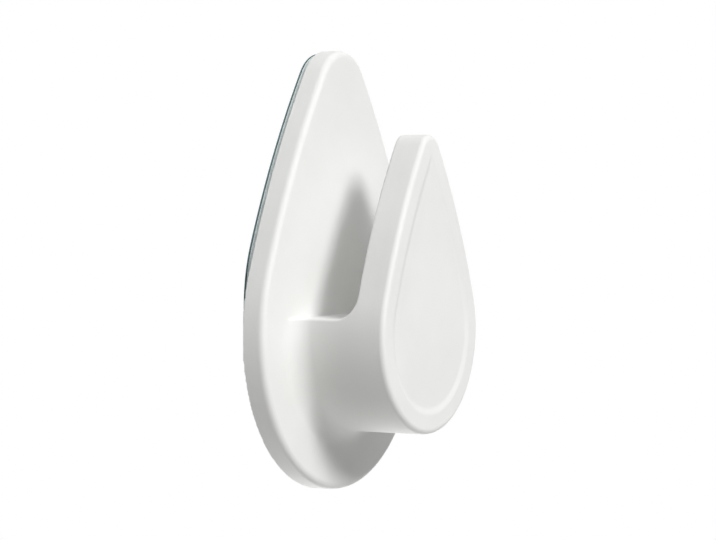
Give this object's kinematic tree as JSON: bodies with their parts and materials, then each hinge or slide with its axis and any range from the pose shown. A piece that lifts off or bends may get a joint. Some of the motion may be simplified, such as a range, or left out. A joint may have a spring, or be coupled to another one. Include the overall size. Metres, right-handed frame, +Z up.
{
  "type": "adhesive wall hook",
  "caption": "Adhesive wall hook: a teardrop base plate carries a smaller teardrop on a hollow stem, with a slot between them for a loop and a foam pad with a peel-off liner behind.",
  "frame": {"origin": "on the wall plane, at the middle of the adhesive pad", "axes": "+Y points into the wall, -Y out into the room, +Z up along the teardrop's long axis, X across the hook"},
  "size_m": [0.051, 0.0205, 0.07],
  "materials": {
    "white_abs": "satin injection moulding",
    "acrylic_adhesive": "clear tacky film",
    "pale_foam": "closed-cell foam",
    "liner_film": "smooth silicone-coated film"
  },
  "bodies": {
    "hook": {"hook_body": "white_abs", "adhesive_hook_side": "acrylic_adhesive", "foam_carrier": "pale_foam", "adhesive_wall_side": "acrylic_adhesive"},
    "liner": {"release_liner": "liner_film"}
  },
  "joints": [
    {"name": "liner_peel", "type": "hinge", "parent": "hook", "child": "liner", "pos_m": [0, -0.00015, 0.021], "axis": [1, 0, 0], "range_deg": [0, 150]}
  ]
}
